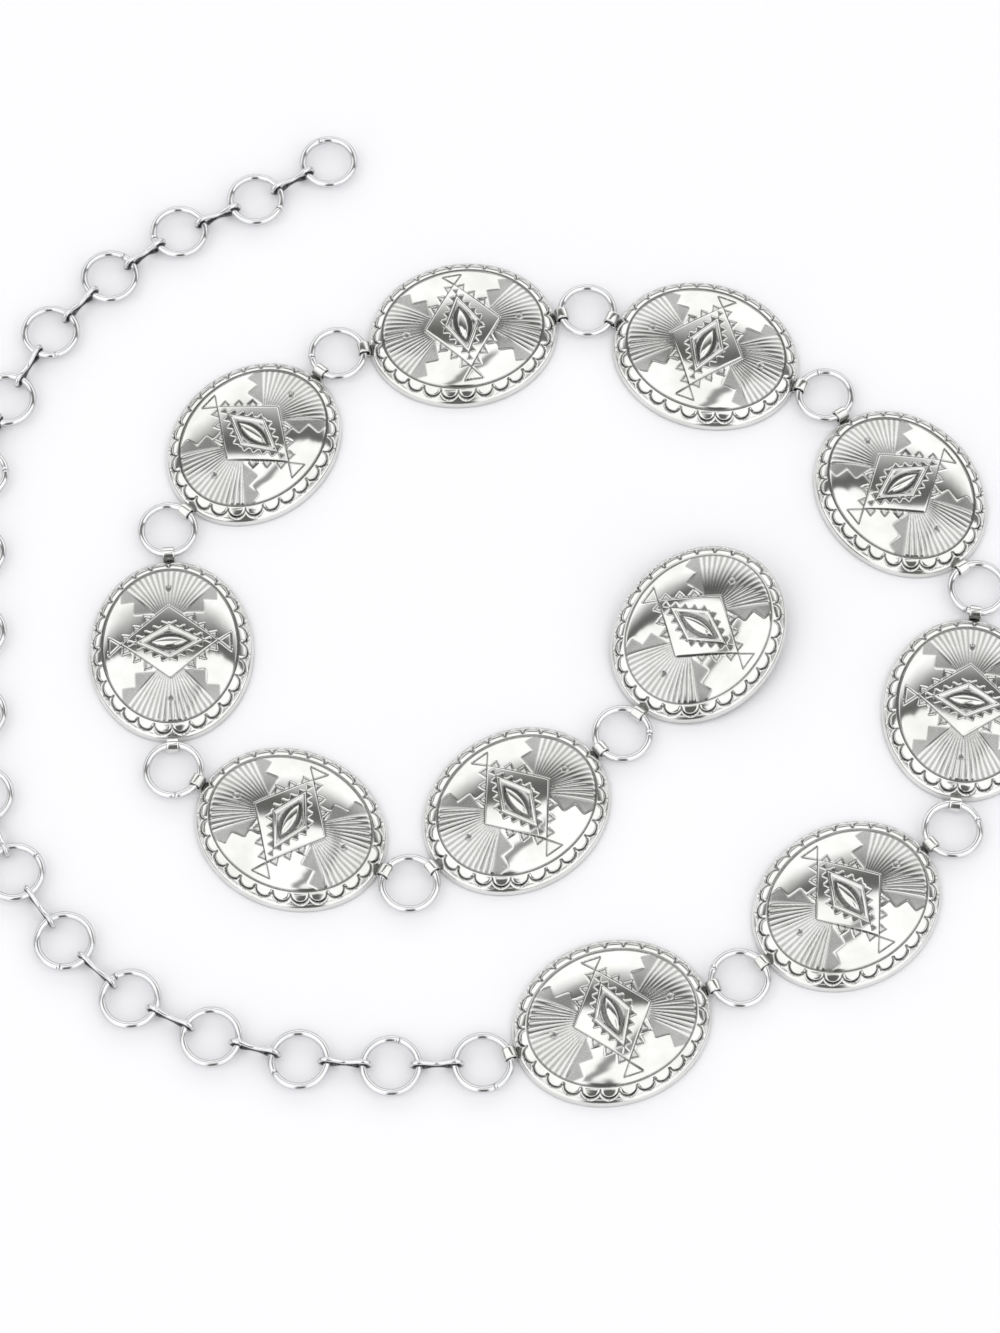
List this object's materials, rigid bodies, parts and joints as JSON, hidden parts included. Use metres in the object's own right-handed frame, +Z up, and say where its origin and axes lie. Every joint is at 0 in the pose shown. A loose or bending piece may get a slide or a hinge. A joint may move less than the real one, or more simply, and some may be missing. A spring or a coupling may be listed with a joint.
{
  "type": "concho belt",
  "caption": "Silver-tone belt of oval domed conchos joined by round rings, with a long ring-and-link tail chain and a hook under the end concho, lying coiled.",
  "frame": {"origin": "middle of the lying belt's box, on the surface that it lies on", "axes": "+Z up from the surface; +Y away from the picture's camera, +X to its right; the conchos' fronts face +Z"},
  "size_m": [0.281, 0.2706, 0.0112],
  "materials": {
    "antiqued_silver": "polished, with dark oxide in the pattern",
    "silver_wire": "polished"
  },
  "bodies": {
    "root": {"concho_01": "antiqued_silver", "hook": "silver_wire", "ring_01": "silver_wire", "concho_02": "antiqued_silver", "ring_02": "silver_wire", "concho_03": "antiqued_silver", "ring_03": "silver_wire", "concho_04": "antiqued_silver", "ring_04": "silver_wire", "concho_05": "antiqued_silver", "ring_05": "silver_wire", "concho_06": "antiqued_silver", "ring_06": "silver_wire", "concho_07": "antiqued_silver", "ring_07": "silver_wire", "concho_08": "antiqued_silver", "ring_08": "silver_wire", "concho_09": "antiqued_silver", "ring_09": "silver_wire", "concho_10": "antiqued_silver", "ring_10": "silver_wire", "concho_11": "antiqued_silver", "tail_ring_01": "silver_wire", "link_01": "silver_wire", "tail_ring_02": "silver_wire", "link_02": "silver_wire", "tail_ring_03": "silver_wire", "link_03": "silver_wire", "tail_ring_04": "silver_wire", "link_04": "silver_wire", "tail_ring_05": "silver_wire", "link_05": "silver_wire", "tail_ring_06": "silver_wire", "link_06": "silver_wire", "tail_ring_07": "silver_wire", "link_07": "silver_wire", "tail_ring_08": "silver_wire", "link_08": "silver_wire", "tail_ring_09": "silver_wire", "link_09": "silver_wire", "tail_ring_10": "silver_wire", "link_10": "silver_wire", "tail_ring_11": "silver_wire", "link_11": "silver_wire", "tail_ring_12": "silver_wire", "link_12": "silver_wire", "tail_ring_13": "silver_wire", "link_13": "silver_wire", "tail_ring_14": "silver_wire", "link_14": "silver_wire", "tail_ring_15": "silver_wire", "link_15": "silver_wire", "tail_ring_16": "silver_wire", "link_16": "silver_wire", "tail_ring_17": "silver_wire", "link_17": "silver_wire", "tail_ring_18": "silver_wire"}
  },
  "joints": []
}
